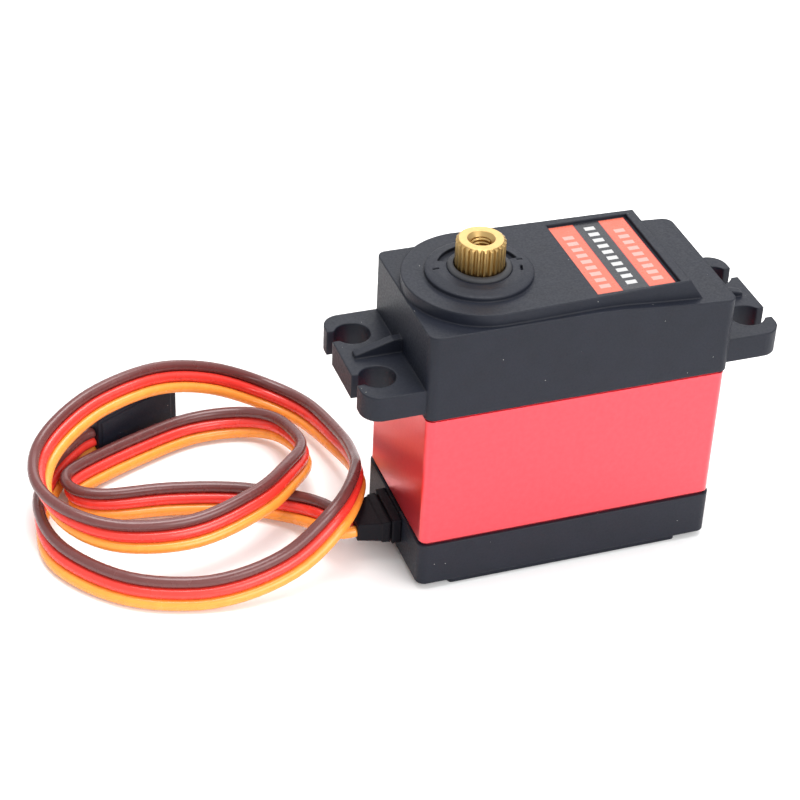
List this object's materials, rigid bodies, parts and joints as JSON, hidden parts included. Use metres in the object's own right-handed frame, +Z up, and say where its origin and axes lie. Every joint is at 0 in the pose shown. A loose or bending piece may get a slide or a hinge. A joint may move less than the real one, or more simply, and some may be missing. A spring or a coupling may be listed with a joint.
{
  "type": "hobby servo motor",
  "caption": "Standard-size digital servo with a red aluminium middle case, splined brass output, slotted flange ears and a three-wire lead.",
  "frame": {"origin": "centre of the case's footprint on the surface it stands on", "axes": "+Z up along the output shaft, X along the case with the output and cable end at -X, Y across the case"},
  "size_m": [0.0927, 0.0457, 0.0451],
  "materials": {
    "black_plastic": "fine-grained moulded black",
    "red_aluminium": "red anodised, satin",
    "steel": "machined",
    "bearing_steel": "ground and polished",
    "brass": "machined",
    "label_film": "printed film, three plain stripes",
    "dark_seal": "moulded seal",
    "motor_steel": "plated can",
    "white_nylon": "moulded nylon",
    "sintered_bronze": "sintered bearing metal",
    "magnet": "sintered magnet",
    "carbon": "pressed carbon",
    "core_steel": "stacked sheets",
    "copper": "varnished copper",
    "blue_plastic": "moulded",
    "phenolic": "pressed sheet",
    "board": "solder-resist green",
    "chip_black": "moulded",
    "capacitor_yellow": "moulded",
    "relief_rubber": "moulded, matt",
    "wire_insulation": "brown, red and orange side by side"
  },
  "bodies": {
    "case": {"bottom_cover": "black_plastic", "middle_case": "red_aluminium", "upper_case": "black_plastic", "case_screws": "steel", "top_label": "label_film", "output_ring": "dark_seal", "gear_pin": "steel", "upper_bearing_outer": "bearing_steel", "lower_bearing_inner": "bearing_steel", "motor_can": "motor_steel", "motor_end_cap": "white_nylon", "motor_bushings": "sintered_bronze", "motor_magnets": "magnet", "motor_brushes": "carbon", "motor_terminals": "brass", "motor_screws": "steel", "pot_case": "blue_plastic", "pot_cover": "phenolic", "pot_track": "carbon", "pot_terminals": "steel", "pot_wires": "wire_insulation", "circuit_board": "board", "control_chip": "chip_black", "driver_chips": "chip_black", "capacitor": "capacitor_yellow", "lead_tails": "copper", "strain_relief": "relief_rubber", "cable": "wire_insulation", "plug_housing": "black_plastic", "plug_contacts": "brass"},
    "rotor": {"motor_shaft": "steel", "motor_pinion": "brass", "motor_core": "core_steel", "motor_windings": "copper", "motor_commutator": "copper"},
    "wheel_1": {"gear_1": "steel"},
    "wheel_2": {"gear_2": "brass"},
    "wheel_3": {"gear_3": "steel"},
    "output": {"output_gear": "brass", "upper_bearing_inner": "bearing_steel", "lower_bearing_outer": "bearing_steel", "pot_shaft": "white_nylon", "pot_wiper": "brass"},
    "upper_balls": {"upper_bearing_balls": "bearing_steel"},
    "lower_balls": {"lower_bearing_balls": "bearing_steel"}
  },
  "joints": [
    {"name": "motor_spin", "type": "hinge", "parent": "case", "child": "rotor", "pos_m": [0.0085, 0, 0.0272], "axis": [0, 0, 1], "range_deg": [-17900, 17900]},
    {"name": "wheel_1_spin", "type": "hinge", "parent": "case", "child": "wheel_1", "pos_m": [-0.00025, 0, 0.0277], "axis": [0, 0, 1], "range_deg": [-2990, 2990]},
    {"name": "wheel_2_spin", "type": "hinge", "parent": "case", "child": "wheel_2", "pos_m": [-0.01045, 0, 0.0291], "axis": [0, 0, 1], "range_deg": [-640, 640]},
    {"name": "wheel_3_spin", "type": "hinge", "parent": "case", "child": "wheel_3", "pos_m": [-0.00025, 0, 0.0306], "axis": [0, 0, 1], "range_deg": [-293, 293]},
    {"name": "output_spin", "type": "hinge", "parent": "case", "child": "output", "pos_m": [-0.01045, 0, 0.0363], "axis": [0, 0, 1], "range_deg": [-90, 90]},
    {"name": "upper_balls_roll", "type": "hinge", "parent": "case", "child": "upper_balls", "pos_m": [-0.01045, 0, 0.0363], "axis": [0, 0, 1], "range_deg": [-38, 38]},
    {"name": "lower_balls_roll", "type": "hinge", "parent": "case", "child": "lower_balls", "pos_m": [-0.01045, 0, 0.0327], "axis": [0, 0, 1], "range_deg": [-54, 54]}
  ],
  "couplings": [
    {"joint": "wheel_1_spin", "follows": "motor_spin", "ratio": -0.16667},
    {"joint": "wheel_2_spin", "follows": "motor_spin", "ratio": 0.035714},
    {"joint": "wheel_3_spin", "follows": "motor_spin", "ratio": -0.016327},
    {"joint": "output_spin", "follows": "motor_spin", "ratio": 0.0050235},
    {"joint": "upper_balls_roll", "follows": "motor_spin", "ratio": 0.0021111},
    {"joint": "lower_balls_roll", "follows": "motor_spin", "ratio": 0.0029486}
  ]
}
